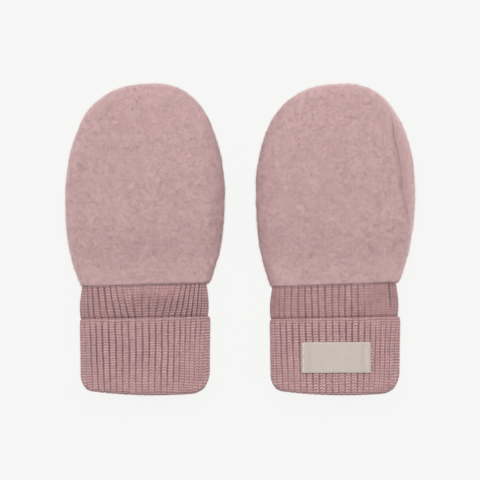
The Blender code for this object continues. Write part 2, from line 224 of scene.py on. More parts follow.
# The label
LABEL_LEFT, LABEL_RIGHT = -0.0162, 0.0171
LABEL_LOW, LABEL_HIGH = 0.0107, 0.0256
LABEL_THICKNESS = 0.0008
LABEL_COLUMNS, LABEL_ROWS = 112, 50
LABEL_FOLD = 0.0030  # how much is folded under at each end
FOLD_STEP, FOLD_STEP_WIDTH = 0.00022, 0.0012
END_ROUNDING, END_WIDTH = 0.00035, 0.0005
LONG_EDGE_ROUNDING, LONG_EDGE_WIDTH = 0.00025, 0.0004
LABEL_SLOPE = 0.004
LABEL_WAVES = (Waves(0.0070, 0.00016, 31), Waves(0.0022, 0.00008, 33))
# A line of painted shade at the foot of the step where each folded end stops
LABEL_LINE_SHADE, LABEL_LINE_PAST_FOLD, LABEL_LINE_WIDTH = 0.07, 0.0008, 0.0010

# The threads that hold the label
THREAD = 0.00045
THREAD_SIDES, THREAD_SECTIONS = 8, 9
THREAD_ARCH, THREAD_SUNK, ARCH_POWER = 1.1, 0.6, 0.5  # the first two in thicknesses of the thread
THREAD_END, THREAD_END_POWER = 0.35, 0.4  # how thick its ends are, as a share of its middle
LEFT_STITCHES = ((0.0112, 0.0142), (0.0149, 0.0183), (0.0190, 0.0222), (0.0229, 0.0252))
LEFT_STITCH_LOW, LEFT_STITCH_HIGH = 0.0009, 0.0010  # from the label's left end
RIGHT_STITCHES, RIGHT_STITCH_COUNT = (0.0140, 0.0225), 6
ZIGZAG = (0.0012, 0.0026)  # from the label's right end

# The photograph's field and the camera
FIELD = 0.2319  # width of what the photograph shows, at the floor
CAMERA_HEIGHT = 3.00
SENSOR_WIDTH = 36.0  # in millimetres
CAMERA_SHIFT = -0.0003  # towards the cuffs
CLIP_END = 50

# The materials
MATT, LABEL_ROUGHNESS, THREAD_ROUGHNESS = 1.0, 0.75, 0.7
SPECULAR = 0.2
SHEEN, SHEEN_ROUGHNESS = 0.12, 0.5
FLEECE_BUMP, RIB_BUMP, LABEL_BUMP = (0.0005, 0.0003), (0.00025, 0.00015), (0.0002, 0.00005)  # size, height
Mottle = namedtuple("Mottle", "size detail low high dark light")
FLEECE_COLOUR = (0.642, 0.434, 0.434)
# The paler colour that the fleece's painted highlights turn to
FLEECE_LIGHT = (0.460, 0.460, 0.460)  # takes the colour's place in what is over a shade of 1
RIB_COLOUR = (0.540, 0.318, 0.320)
# The paler colour that the knit's painted highlights turn to
RIB_LIGHT = (0.330, 0.290, 0.300)
LABEL_COLOUR = (0.590, 0.520, 0.470)
THREAD_COLOUR = (0.760, 0.710, 0.660)
FLEECE_MOTTLE = (
    # The dark pits are painted shade of small pits in the pile
    Mottle(0.0010, 3, 0.35, 0.46, 0.93, 1.0),  # dark pits
    Mottle(0.0012, 3, 0.56, 0.66, 1.0, 1.03),  # light curls
    Mottle(0.0060, 2, 0.30, 0.70, 0.98, 1.02),
    Mottle(0.0300, 2, 0.30, 0.70, 0.98, 1.02),
)
RIB_MOTTLE = (
    Mottle(0.0006, 2, 0.30, 0.70, 0.88, 1.12),
    Mottle(0.0080, 2, 0.30, 0.70, 0.96, 1.04),
)
LABEL_MOTTLE = (
    Mottle(0.0004, 2, 0.30, 0.70, 0.96, 1.04),
    Mottle(0.0060, 2, 0.30, 0.70, 0.98, 1.02),
)

# The floor, its low wall and the light
FLOOR_HALF_WIDTH, FLOOR_WALL, FLOOR_DROP = 6.0, 0.5, 0.0001
FLOOR_COLOUR = (0.03, 0.03, 0.03, 1)
FLOOR_GLOW_COLOUR, FLOOR_GLOW = (0.92, 0.92, 0.915, 1), 0.966
SKY_COLOUR, SKY = (1.0, 1.0, 1.0, 1), 0.38
SOFTBOXES = (  # name, place, size and power
    ("top_softbox", (0.0, 0.75, 1.70), 1.1, 21.0),
    ("left_softbox", (-1.5, 0.3, 1.3), 0.9, 4.0),
    ("right_softbox", (1.5, 0.3, 1.3), 0.9, 4.0),
)

# How the noise's cells are mixed up, and the shortest length to divide by
CELL_FACTORS, SEED_FACTOR = (73856093, 19349663, 83492791), 668265263
MIXES, LAST_SHIFT = ((15, 2246822519), (13, 3266489917)), 16
ALL_BITS, HALF_BITS = 0xFFFFFFFF, 0x7FFFFFFF
TINY = 1e-12
MERGE_WITHIN = 1e-7  # points of a mesh that lie closer become one


def smooth(low, high, x):
    """A smooth step from 0 at low to 1 at high."""
    t = np.clip((x - low) / (high - low), 0, 1)
    return t * t * (3 - 2 * t)


def hashed(cells, seed):
    """A fixed random number from -1 to 1 for each cell of a lattice."""
    x, y, z = [cells[..., k] * factor for k, factor in enumerate(CELL_FACTORS)]
    mixed = (x ^ y ^ z ^ seed * SEED_FACTOR) & ALL_BITS
    for shift, factor in MIXES:
        mixed = ((mixed ^ mixed >> shift) * factor) & ALL_BITS
    return (mixed ^ mixed >> LAST_SHIFT) / HALF_BITS - 1


def noise(points, size, seed):
    """Smooth noise from -1 to 1 at each point, with features of about this size."""
    scaled = points / size
    cells = np.floor(scaled).astype(np.int64)
    part = scaled - cells
    part = part * part * (3 - 2 * part)
    total = np.zeros(points.shape[:-1])
    for corner in itertools.product((0, 1), repeat=3):
        weight = np.prod(np.where(corner, part, 1 - part), axis=-1)
        total += weight * hashed(cells + corner, seed)
    return total


def oval(share, straight, radius):
    """Points of a flattened oval, with the outward direction there. Share 0 is its right-hand side."""
    turns = np.mod(share, 1.0) * 4
    index = np.floor(turns).astype(int) % 4
    along = turns - np.floor(turns)
    along = np.where(index % 2 == 1, 1 - along, along)
    sign_u = np.where((index == 0) | (index == 3), 1.0, -1.0)
    sign_z = np.where(index < 2, 1.0, -1.0)
    angle = np.clip(along / ARC_SHARE, 0, 1) * math.pi / 2
    past_arc = np.clip((along - ARC_SHARE) / (1 - ARC_SHARE), 0, 1)
    out_u, out_z = np.cos(angle), np.sin(angle)
    u = straight * (1 - past_arc) + radius * out_u
    return sign_u * u, sign_z * radius * out_z, sign_u * out_u, sign_z * out_z


def share_above(u):
    """The share of a section at which the cuff's upper side has this u."""
    along = ARC_SHARE + (1 - ARC_SHARE) * (1 - np.abs(u) / CUFF_STRAIGHT)
    return np.where(u >= 0, along / 4, 0.5 - along / 4)


def slope_at(mitten, v):
    """How much the knit's rows rise to the right at this height."""
    part = np.clip((v - TURN_UP_HEIGHT) / (SEAM_HEIGHT - TURN_UP_HEIGHT), 0, 1)
    low = mitten.hem_slope * np.clip(v / TURN_UP_HEIGHT, 0, 1)
    return low + (mitten.seam_slope - mitten.hem_slope) * part


def fold_lift(u):
    """How far the cuff's folded edge lies above its lowest point: a shallow sag with two round corners."""
    radius = np.where(np.asarray(u) > 0, RIGHT_CORNER, LEFT_CORNER)
    past = np.maximum(0.0, np.abs(u) - (CUFF_HALF_WIDTH - radius))
    corner = radius - np.sqrt(np.maximum(0.0, radius**2 - past**2))
    return SAG * (u - SAG_CENTRE) ** 2 + corner


def crown_at(u, z, radius):
    """The extra height of the upper side, which fades out at the round ends."""
    return CROWN * np.maximum(0.0, z / radius) * (1 - np.minimum(1.0, np.abs(u) / CUFF_HALF_WIDTH) ** 2)


def cuff_surface(mitten, share, depth, v, band):
    """Points of the cuff. Depth is measured outward from the hollow, and band is 0 on the turn-up."""
    free = smooth(BAND_SPREAD_FROM, BAND_SPREAD_TO, v) * band
    spread = BAND_SPREAD - BAND_NARROWING * smooth(BAND_SPREAD_TO, SEAM_HEIGHT, v)
    up_band = np.clip((v - BAND_SPREAD_FROM) / (SEAM_HEIGHT - BAND_SPREAD_FROM), 0, 1)
    bulge = BAND_BULGE * np.sin(math.pi * up_band) * band
    radius = HOLLOW_HALF_HEIGHT + depth + BAND_LOFT * free + bulge
    u, z, out_u, out_z = oval(share, CUFF_STRAIGHT + spread * free, radius)
    u = u - RIGHT_BAND_INSET * free * smooth(INSET_FROM, INSET_FULL, u / CUFF_HALF_WIDTH)
    z = z + crown_at(u, z, radius)
    rise = band * np.clip((v - TURN_UP_HEIGHT) / (SEAM_HEIGHT - TURN_UP_HEIGHT), 0, 1)
    from_middle = np.minimum(1.0, np.abs(u) / CUFF_HALF_WIDTH)
    fan = np.where(u > 0, mitten.right_fan, -mitten.left_fan)
    fan = fan * (1 - from_middle) ** FAN_POWER * smooth(0.0, FAN_OPENS, from_middle)
    u = u + fan * rise * np.abs(out_z)
    near = hump(u - mitten.pucker_at, PUCKER_WIDTH)
    dip = free * (1 - smooth(BAND_SPREAD_FROM, PUCKER_ENDS_AT, v))
    z = z - mitten.pucker * near * dip * np.maximum(0.0, out_z)
    lift = fold_lift(u) * np.maximum(0.0, 1 - v / LIFT_ENDS_AT)
    return np.stack([u, v + lift + slope_at(mitten, v) * u, CUFF_MIDDLE + z], axis=-1)


def pouch_half_width(v, inset):
    """The pouch's outline, or that of its inside at this inset."""
    widest = POUCH_HALF_WIDTH - inset
    down = np.maximum(0.0, (POUCH_WIDEST_AT - v) / (POUCH_WIDEST_AT - SEAM_HEIGHT))
    up = np.clip((v - POUCH_WIDEST_AT) / (LENGTH - inset - POUCH_WIDEST_AT), 0, 1)
    return widest * (1 - POUCH_NARROWING * down**NARROWING_POWER) * (1 - up**2) ** TIP_POWER


def nose(v, inset):
    """How the pouch's depth shrinks to nothing at the tip."""
    up = np.clip((v - POUCH_WIDEST_AT) / (LENGTH - inset - POUCH_WIDEST_AT), 0, 1)
    return np.sqrt(1 - up**NOSE_POWER)


def way_along(step):
    """How far along the pouch its sections lie: closer together at both ends, the most at the tip."""
    at_tip = np.sin(step * math.pi / 2)
    at_both_ends = (1 - np.cos(step * math.pi)) / 2
    return TIP_WEIGHT * at_tip + (1 - TIP_WEIGHT) * at_both_ends


def pouch_surface(mitten, share, step, inset):
    """Points of the pouch: step runs from 0 at the cuff's seam to 1 at the tip."""
    along = way_along(step)
    v = SEAM_HEIGHT + (LENGTH - inset - SEAM_HEIGHT) * along
    radius = BAND_RADIUS + FLEECE_OVERLAP
    cuff_u, cuff_z, _, _ = oval(share, pouch_half_width(v, 0.0) - radius, radius - inset)
    cuff_z = cuff_z + crown_at(cuff_u, cuff_z, radius - inset)

    flat_u, flat_z, _, _ = oval(share, CUFF_STRAIGHT, CUFF_RADIUS)
    across = flat_u / CUFF_HALF_WIDTH
    shoulder = np.where(across > 0, mitten.right_shoulder, mitten.left_shoulder)
    seam = SIDE_SEAM_HEIGHT + (TIP_SEAM_HEIGHT - SIDE_SEAM_HEIGHT) * smooth(POUCH_WIDEST_AT, LENGTH, v)
    full = BAND_RADIUS + (POUCH_LOFT - BAND_RADIUS) * smooth(SEAM_HEIGHT, POUCH_FILLS_BY, v)
    above = np.maximum(0.0, 1 - np.abs(across) ** shoulder) ** (1 / CROWN_POWER)
    below = np.sqrt(np.maximum(0.0, 1 - np.abs(across) ** UNDERSIDE_SHOULDER))
    upper = seam + (full - inset) * nose(v, inset) * above
    lower = np.maximum(inset, seam - (seam + UNDERSIDE_PRESS - inset) * nose(v, inset) * below)
    z = np.where(flat_z >= 0, upper, lower)

    away = smooth(SEAM_HEIGHT, CUFF_FORM_ENDS_AT, v)
    u = cuff_u + (pouch_half_width(v, inset) * across - cuff_u) * away
    z = CUFF_MIDDLE + cuff_z + (z - CUFF_MIDDLE - cuff_z) * away
    rise = mitten.seam_slope * (1 - along) ** 2 + TIP_SLOPE * along**TIP_SLOPE_POWER
    return np.stack([u, v + rise * u, z], axis=-1)


def grid_normals(points, closed):
    """Outward directions at the points of a grid of rows and columns."""
    down = np.gradient(points, axis=0)
    if closed:
        across = np.roll(points, -1, axis=1) - np.roll(points, 1, axis=1)
    else:
        across = np.gradient(points, axis=1)
    normals = np.cross(across, down)
    return normals / np.maximum(np.linalg.norm(normals, axis=-1, keepdims=True), TINY)


def grid_quads(rows, columns, closed_rows, closed_columns):
    """The corners of the quads between neighbouring points of a grid."""
    i = np.arange(rows if closed_rows else rows - 1)[:, None]
    j = np.arange(columns if closed_columns else columns - 1)[None, :]
    below, after = (i + 1) % rows, (j + 1) % columns
    corners = [i * columns + j, i * columns + after, below * columns + after, below * columns + j]
    return np.stack(corners, axis=-1).reshape(-1, 4)


def make_piece(name, points, faces, material, place, shade=None, merge=False):
    """A smooth mesh object that rides on the part. Shade is how light its colour is at each point."""
    mesh = bpy.data.meshes.new(name)
    mesh.from_pydata((points + np.array(place)).tolist(), [], faces)
    layer = mesh.attributes.new("shade", "FLOAT", "POINT")
    layer.data.foreach_set("value", np.ones(len(points)) if shade is None else shade.ravel())
    if merge:
        weld = bpy.data.objects.new(name, mesh)
        modifier = weld.modifiers.new("weld", "WELD")
        modifier.merge_threshold = MERGE_WITHIN
        bpy.context.scene.collection.objects.link(weld)
        bpy.context.view_layer.update()
        mesh = bpy.data.meshes.new_from_object(weld.evaluated_get(bpy.context.evaluated_depsgraph_get()))
        bpy.data.objects.remove(weld)
        mesh.name = name
    mesh.shade_smooth()
    mesh.materials.append(material)
    piece = bpy.data.objects.new(name, mesh)
    bpy.context.scene.collection.objects.link(piece)
    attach(piece, "root")
    return piece


def mitten_place(mitten):
    """Where a mitten's own origin lies."""
    return (mitten.side * AXIS_SPACING / 2, -LENGTH / 2, 0.0)


def waves(points, *layers):
    """The sum of some layers of noise."""
    return sum(layer.amount * noise(points, layer.size, layer.seed) for layer in layers)


def hump(distance, width):
    """A soft hump: 1 at no distance, and next to nothing at twice the width."""
    return np.exp(-((distance / width) ** 2))


def patched(patches, u, v):
    """How strong the soft spots of the knit are at each point."""
    total = 0
    for patch in patches:
        away = ((u - patch.u) / patch.wide) ** 2 + ((v - patch.v) / patch.high) ** 2
        total = total + patch.amount * np.exp(-away)
    return total


def knit_profile():
    """The cuff's wall in section, as rows of depth, height, rib weight, stitch row and band or turn-up."""
    step = STITCH_ROW / ROWS_DRAWN
    fold = TURN_UP_OUTSIDE / 2
    top = TURN_UP_HEIGHT - KNIT / 2
    rows = []
    knitted = 0.0
    count = round((SEAM_HEIGHT - BAND_SPREAD_FROM) / step)
    for i in range(count + 1):
        v = SEAM_HEIGHT - (SEAM_HEIGHT - BAND_SPREAD_FROM) * i / count
        rows.append((KNIT, v, 1.0, i * step, 1.0))
    for v in (*HIDDEN_SECTIONS, fold):
        rows.append((KNIT, v, 0.0, 0.0, 1.0))
    rows.append((fold, fold - TURN_UP_GAP / 2, 0.0, 0.0, 0.0))
    for v in (fold, *reversed(HIDDEN_SECTIONS)):
        rows.append((KNIT + TURN_UP_GAP, v, 0.0, 0.0, 0.0))
    count = round(math.pi * KNIT / 2 / step)
    for i in range(count + 1):
        angle = math.pi * (1 - i / count)
        depth = TURN_UP_OUTSIDE - KNIT / 2 + KNIT / 2 * math.cos(angle)
        rows.append((depth, top + KNIT / 2 * math.sin(angle), EDGE_RIBBED, knitted, 0.0))
        knitted += step
    count = round((top - fold) / step)
    for i in range(1, count + 1):
        v = top + (fold - top) * i / count
        ribbed = EDGE_RIBBED + (1 - EDGE_RIBBED) * min(1.0, max(0.0, (top - v) / PLAIN_EDGE))
        rows.append((TURN_UP_OUTSIDE, v, ribbed, knitted, 0.0))
        knitted += step
    count = round(math.pi * fold / step)
    for i in range(1, count + 1):
        angle = -math.pi * i / count
        ribbed = 1 - FOLD_PLAIN * math.sin(-angle) ** FOLD_PLAIN_POWER
        rows.append((fold + fold * math.cos(angle), fold + fold * math.sin(angle), ribbed, knitted, 0.0))
        knitted += step
    for i in range(1, INSIDE_ROWS + 1):
        rows.append((0.0, fold + step * i, 1.0, knitted, 1.0))
        knitted += step
    for v in np.linspace(fold + step * INSIDE_STARTS, SEAM_HEIGHT, INSIDE_SECTIONS):
        rows.append((0.0, v, 1.0, knitted, 1.0))
        knitted += STITCH_ROW
    return np.array(rows)


def rib_columns():
    """The drawn columns of the knit: the share of the section and the number of ribs counted there."""
    share = np.linspace(0, 1, RIB_SAMPLES)
    u, _, _, _ = oval(share, CUFF_STRAIGHT, CUFF_RADIUS)
    crowds = sum(amount * hump(u - at, wide) for at, wide, amount in CROWDED)
    density = 1 + (share < 0.5) * crowds
    counted = np.concatenate([[0], np.cumsum((density[1:] + density[:-1]) / 2)])
    counted = counted / counted[-1] * DRAWN_RIBS
    counted -= np.interp(share_above(np.array(RIB_ORIGIN)), share, counted) % 1
    first = math.ceil(counted[0])
    columns = []
    for rib in range(first, first + DRAWN_RIBS):
        middle = np.interp((rib + 0.5 - counted[0]) % DRAWN_RIBS + counted[0], counted, share)
        _, _, _, up = oval(np.array(middle), CUFF_STRAIGHT, CUFF_RADIUS)
        drawn = HIDDEN_RIB_COLUMNS if up < FACING_DOWN else RIB_COLUMNS
        columns += [rib + column / drawn for column in range(drawn)]
    ribs = np.array(columns)
    turned = (ribs - counted[0]) % DRAWN_RIBS + counted[0]
    return np.interp(turned, counted, share), ribs


def knit_relief(ribs, row, stretched):
    """The knit's surface: how high it stands, and its painted shade and highlights there.

    Rows of slanted stitches run up the ribs, with bars across the grooves between them."""
    across = np.abs(np.mod(ribs, 1.0) - 0.5) * 2
    rib = 1 - smooth(*RIB_SIDE, across)
    middle = 1 - smooth(*RIB_MIDDLE, across)
    leg = smooth(*LEG_STARTS, across) * (1 - smooth(*LEG_ENDS, across))
    stitch = 0.5 + 0.5 * np.cos(2 * math.pi * (row - STITCH_SLANT * across))
    bars = 0.5 + 0.5 * np.cos(2 * math.pi * (row + PURL_PHASE))
    purl = smooth(*PURL_STARTS, across) * bars
    groove = 1 - GROOVE_STRETCH * stretched
    height = GROOVE_RELIEF * groove * (rib - 1) + STITCH_RELIEF * (leg * stitch - MIDDLE_SINKS * middle)
    height = height + PURL_RELIEF * (1 + PURL_STRETCH * stretched) * purl
    # Painted shade in the grooves and between a stitch's legs, painted highlights on the legs and on the
    # purl bars
    lit_bars = (BAR_LIGHT + BAR_LIGHT_STRETCH * stretched) * bars
    shade = 1 - GROOVE_SHADE * groove * (1 - rib) * (1 - lit_bars)
    shade = shade + leg * (LEG_LIGHT * stitch**LEG_LIGHT_POWER - LEG_SHADE)
    shade = shade - (MIDDLE_SHADE + MIDDLE_SHADE_STRETCH * stretched) * middle * (1 - bars)
    return height, shade


def stretch_at(mitten, u, v, band, spot):
    """How much the knit is stretched, which flattens its ribs, from 0 to 1."""
    low = LOW_STRETCH * (1 - smooth(*LOW_STRETCH_UNTIL, v))
    turned_up = (RIGHT_STRETCH * smooth(*RIGHT_STRETCH_FROM, u) + low) * (band < 0.5)
    return np.clip(turned_up + waves(spot, STRETCH_WAVES) + patched(mitten.stretched, u, v), 0, 1)


def knit_shadows(mitten, shade, u, v, depth, band, on_band, spot):
    """Painted shade on the knit: darker on the band, in the left band's dip, down a groove of the right
    band, under the turned-up edge, under the seam and on that edge's inner side; and its tone made uneven.
    """
    # Painted shade in the dip of the left band
    shade = shade * (1 - on_band * patched(mitten.dim, u, v))
    # Painted shade: a dark line down the right band's last groove
    if mitten.side > 0:
        shade = shade - LINE_SHADE * on_band * hump(u - LINE_AT, LINE_WIDTH) * smooth(*LINE_FROM, v)
    shade = shade * (1 + waves(spot, SHADE_WAVES))
    # Painted shade over the whole band, which lies below the turned-up edge
    shade = np.maximum(shade, DARKEST) * (1 - mitten.band_shade * on_band)
    under_edge = TURN_UP_SHADOW * (1 - smooth(*TURN_UP_SHADOW_UNTIL, v))
    under_seam = SEAM_SHADOW * smooth(*SEAM_SHADOW_FROM, v)
    shade = shade * (1 - on_band * (under_edge + under_seam))
    round_edge = smooth(TURN_UP_OUTSIDE - KNIT / 2, TURN_UP_OUTSIDE - KNIT, depth)
    return shade * (1 - EDGE_SHADOW * (band < 0.5) * (v > TURN_UP_HEIGHT - KNIT) * round_edge)


def make_cuff(mitten, material):
    """The rib tube as one closed wall, with its ribs and stitches raised."""
    rows = knit_profile()
    depth, v, ribbed, knitted, band = [rows[:, [k]] for k in range(5)]
    share, ribs = [values[None, :] + 0 * v for values in rib_columns()]
    u, _, _, out_z = oval(share, CUFF_STRAIGHT, CUFF_RADIUS)
    around = cuff_surface(mitten, share, depth, v, band)
    towards_fold = np.clip(1 - v / TURN_UP_HEIGHT, 0, 1)
    shift = RIB_LEAN * u * towards_fold + waves(around, *RIB_WANDER)
    share = share + shift / ONCE_ROUND * out_z * (ribbed > 0)
    crowding = BAND_CROWDING * (band > 0.5) * (v > BAND_SPREAD_FROM)
    share = share - crowding * np.sin(4 * math.pi * (share - 0.25)) / (4 * math.pi)
    points = cuff_surface(mitten, share, depth, v, band)
    outside = (band < 0.5) * (depth > KNIT)
    plump = TURN_UP_PLUMP * hump(v - PLUMP_AT, PLUMP_WIDTH) * outside * np.abs(out_z)
    points = points + plump[..., None] * grid_normals(points, True)
    spot = points + mitten.side * MITTENS_APART
    points[..., 0] *= 1 - TURN_UP_TAPER * outside * towards_fold

    stretched = stretch_at(mitten, u, v, band, spot)
    lifted = fold_lift(u) * np.maximum(0.0, 1 - v / LIFT_ENDS_AT)
    row = (knitted - lifted) / STITCH_ROW + waves(spot, *ROW_WANDER)
    height, shade = knit_relief(ribs, row, stretched)
    height = height + waves(spot, THREAD_WAVES)
    on_band = (band > 0.5) * (depth == KNIT)
    uneven = (1 + waves(spot, RIB_WAVES)) * (1 - (1 - mitten.band_detail) * on_band)
    weight = ribbed * uneven * np.where(depth < KNIT / 2, INSIDE_RELIEF, 1.0)
    plain, plain_shade = knit_relief(ribs * PLAIN_COLUMNS_A_RIB, row, 0 * ribs + 1)
    height = height * weight + PLAIN_RELIEF * plain * np.where(knitted > 0, 1 - ribbed, 0)
    # Painted shade darkens the plain top edge and fold
    plain_shade = PLAIN_DETAIL * (plain_shade - 1) - PLAIN_SHADE
    shade = 1 + (shade - 1) * ribbed * uneven + plain_shade * (1 - ribbed)

    calm = on_band * patched(mitten.calm, u, v)
    fine_lines = CALM_COLUMNS * np.cos(2 * math.pi * ribs * CALM_COLUMNS_A_RIB)
    fine_lines = fine_lines + CALM_ROWS * np.cos(2 * math.pi * row)
    calm_shade = mitten.calm_detail * fine_lines + mitten.calm_shade
    shade = 1 + (shade - 1) * (1 - calm) + calm_shade * calm
    height = height * (1 - CALM_FLATTENS * calm)
    shade = knit_shadows(mitten, shade, u, v, depth, band, on_band, spot)
    height = height * smooth(0.0, GROOVES_FADE_BELOW, points[..., 2])
    points = points + grid_normals(points, True) * height[..., None]
    points[..., 2] = np.maximum(points[..., 2], 0.0)

    count, columns = points.shape[:2]
    quads = grid_quads(count, columns, True, True)
    piece = make_piece(f"{mitten.name}_cuff_knit", points.reshape(-1, 3), quads.tolist(), material,
                       mitten_place(mitten), shade)
    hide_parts(f"{mitten.name}_cuff")


def panel_shares(mitten, front, across, step):
    """The shares of a panel's columns in each section, from its first side seam to its last."""
    height = SEAM_HEIGHT + (LENGTH - SEAM_HEIGHT) * way_along(step)
    rolled = smooth(ROLL_FROM, ROLL_FULL_AT, height) * (1 - smooth(ROLL_FADES_FROM, LENGTH, height))
    right = mitten.seam_roll * rolled
    first, last = (right, 0.5 + 0 * right) if front else (0.5 + 0 * right, 1 + right)
    crowding = FRONT_CROWDING if front else BACK_CROWDING
    eased = across - crowding * np.sin(2 * math.pi * across) / (2 * math.pi)
    margin = SEWN_GAP / 2 / (4 * (CUFF_RADIUS * math.pi / 2 + CUFF_STRAIGHT))
    return first + margin + (last - first - 2 * margin) * eased


def lengths_along(points, axis):
    """How far each point of a grid lies from the first one in its row or column."""
    steps = np.linalg.norm(np.diff(points, axis=axis), axis=-1)
    start = np.zeros_like(np.take(steps, [0], axis=axis))
    return np.concatenate([start, np.cumsum(steps, axis=axis)], axis=axis)


def turned_in(distance, radius):
    """How deep the fleece's surface lies at this distance from a cut edge, where it turns in."""
    short = np.clip(radius - distance, 0, radius)
    return radius - np.sqrt(radius**2 - short**2)


def panel_inset(outside, from_side, from_cuff, near_tip):
    """How deep the fleece's skin lies, as a share of the cloth: turned in at its edges and sewn down."""
    height = outside[..., 1]
    inset = np.maximum(turned_in(from_side, SIDE_ROUNDING), turned_in(from_cuff, CUFF_EDGE_ROUNDING))
    deepened = TROUGH_SHALLOW + (1 - TROUGH_SHALLOW) * smooth(*TROUGH_DEEPENS, height)
    faded = 1 - TROUGH_FADE * smooth(*TROUGH_FADES, height)
    sewn = SEAM_TROUGH_DEPTH * (1 + waves(outside, TROUGH_WAVES)) * deepened * faded
    inset = inset + sewn * hump(from_side, SEAM_TROUGH_WIDTH)
    inset = inset + PILE_DEPTH * (1 - near_tip / 2)
    inset = np.minimum(inset, FLEECE_OVERLAP + INSET_FROM_CUFF * from_cuff)
    return np.clip(inset / FLEECE, 0, MOST_INSET)


def panel_shade(mitten, outside, outward, from_side, from_cuff):
    """How light the fleece is painted at each point of its skin, with painted shade and painted highlights.
    """
    height = outside[..., 1]
    # Painted shade in the fine relief's hollows and painted highlights on its bumps
    shade = 1 + FINE_SHADE * waves(outside + mitten.side, *FINE_RELIEF)
    if mitten.seam_roll:
        # Painted shade along the rolled seam's crease
        creased = smooth(*CREASE_FROM, height) * (1 - smooth(*CREASE_UNTIL, height)) * (outside[..., 0] > 0)
        shade = shade * (1 - CREASE_SHADE * creased * hump(from_side, CREASE_WIDTH))
    # Painted highlight: a rim light on the steep sides, faded out on the inner side
    steep = (1 - smooth(*STEEP, outward[..., 2])) * smooth(*UNDERNEATH, outward[..., 2])
    inner_side = -mitten.side * outside[..., 0] / POUCH_HALF_WIDTH
    shade = shade * (1 + mitten.rim * (1 - smooth(*RIM_FADES, inner_side)) * steep)
    # Painted shade on the inner side, which faces the other mitten
    shade = shade * (1 - mitten.inner_shade * smooth(*INNER_SIDE, inner_side))
    # Painted shade along the seam to the cuff, under the fleece's edge
    return shade * (1 - CUFF_SEAM_SHADE * (1 - smooth(*CUFF_SEAM_SHADE_UNTIL, from_cuff)))


def make_panel(mitten, front, material, pile_material):
    """A wall of fleece as one closed mesh, fine outside and plain inside, and the pile on it."""
    columns = FRONT_COLUMNS if front else BACK_COLUMNS
    step = (np.arange(PANEL_SECTIONS + 1) / PANEL_SECTIONS)[:, None]
    across = (np.arange(columns + 1) / columns)[None, :]
    share = panel_shares(mitten, front, across, step)
    outside = pouch_surface(mitten, share, step, 0.0)
    outward = -grid_normals(outside, False)
    lining = pouch_surface(mitten, share, step, FLEECE)
    inside = lining[:, ::INSIDE_EVERY].copy()
    inside[..., 2] = np.maximum(inside[..., 2], FLEECE * LINING_LOWEST)

    along_row = lengths_along(outside, 1)
    from_last = along_row[:, -1:] - along_row
    from_side = np.minimum(along_row, from_last)
    from_cuff = lengths_along(outside, 0)
    height = outside[..., 1]
    near_tip = 1 - smooth(0.0, TIP_CALM, LENGTH - height)
    inset = panel_inset(outside, from_side, from_cuff, near_tip)
    skin = outside + (lining - outside) * inset[..., None]
    relief = waves(outside + mitten.side, *BROAD_RELIEF, *FINE_RELIEF)
    if mitten.seam_roll and not front:
        pressed = smooth(*PRESSED_FROM, height) * (1 - smooth(*PRESSED_UNTIL, height))
        relief = relief - PRESSED_IN * hump(from_last - PRESSED_AT, PRESSED_WIDTH) * pressed
    calm = smooth(0.0, FLOOR_CALM, outside[..., 2]) * smooth(0.0, SEAM_CALM, from_side)
    skin = skin + outward * (relief * calm * (1 - near_tip))[..., None]
    skin[..., 2] = np.maximum(skin[..., 2] + (SEWN_GAP / 2 if front else -SEWN_GAP / 2), 0.0)
    skin_shade = panel_shade(mitten, outside, outward, from_side, from_cuff)

    sections, fine, coarse = PANEL_SECTIONS + 1, columns + 1, inside.shape[1]
    rings = np.concatenate([skin, inside[:, ::-1]], axis=1)
    quads = grid_quads(sections, fine + coarse, False, True).tolist()
    edge = []
    for j in range(coarse - 1):
        inner = fine + coarse - 1 - j
        edge += [[INSIDE_EVERY * j + i + 1, INSIDE_EVERY * j + i, inner] for i in range(INSIDE_EVERY)]
        edge.append([INSIDE_EVERY * (j + 1), inner, inner - 1])
    name = f"{mitten.name}_{'front' if front else 'back'}"
    place = mitten_place(mitten)
    shade = np.concatenate([skin_shade, np.ones(inside.shape[:2])], axis=1)
    points = rings.reshape(-1, 3)
    piece = make_piece(f"{name}_fleece", points, quads + edge, material, place, shade, merge=True)
    pile = make_pile(f"{name}_pile", skin, skin_shade, pile_material, place)
    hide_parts(name)


def unit(vectors):
    """The same directions with length 1."""
    return vectors / np.maximum(np.linalg.norm(vectors, axis=1, keepdims=True), TINY)


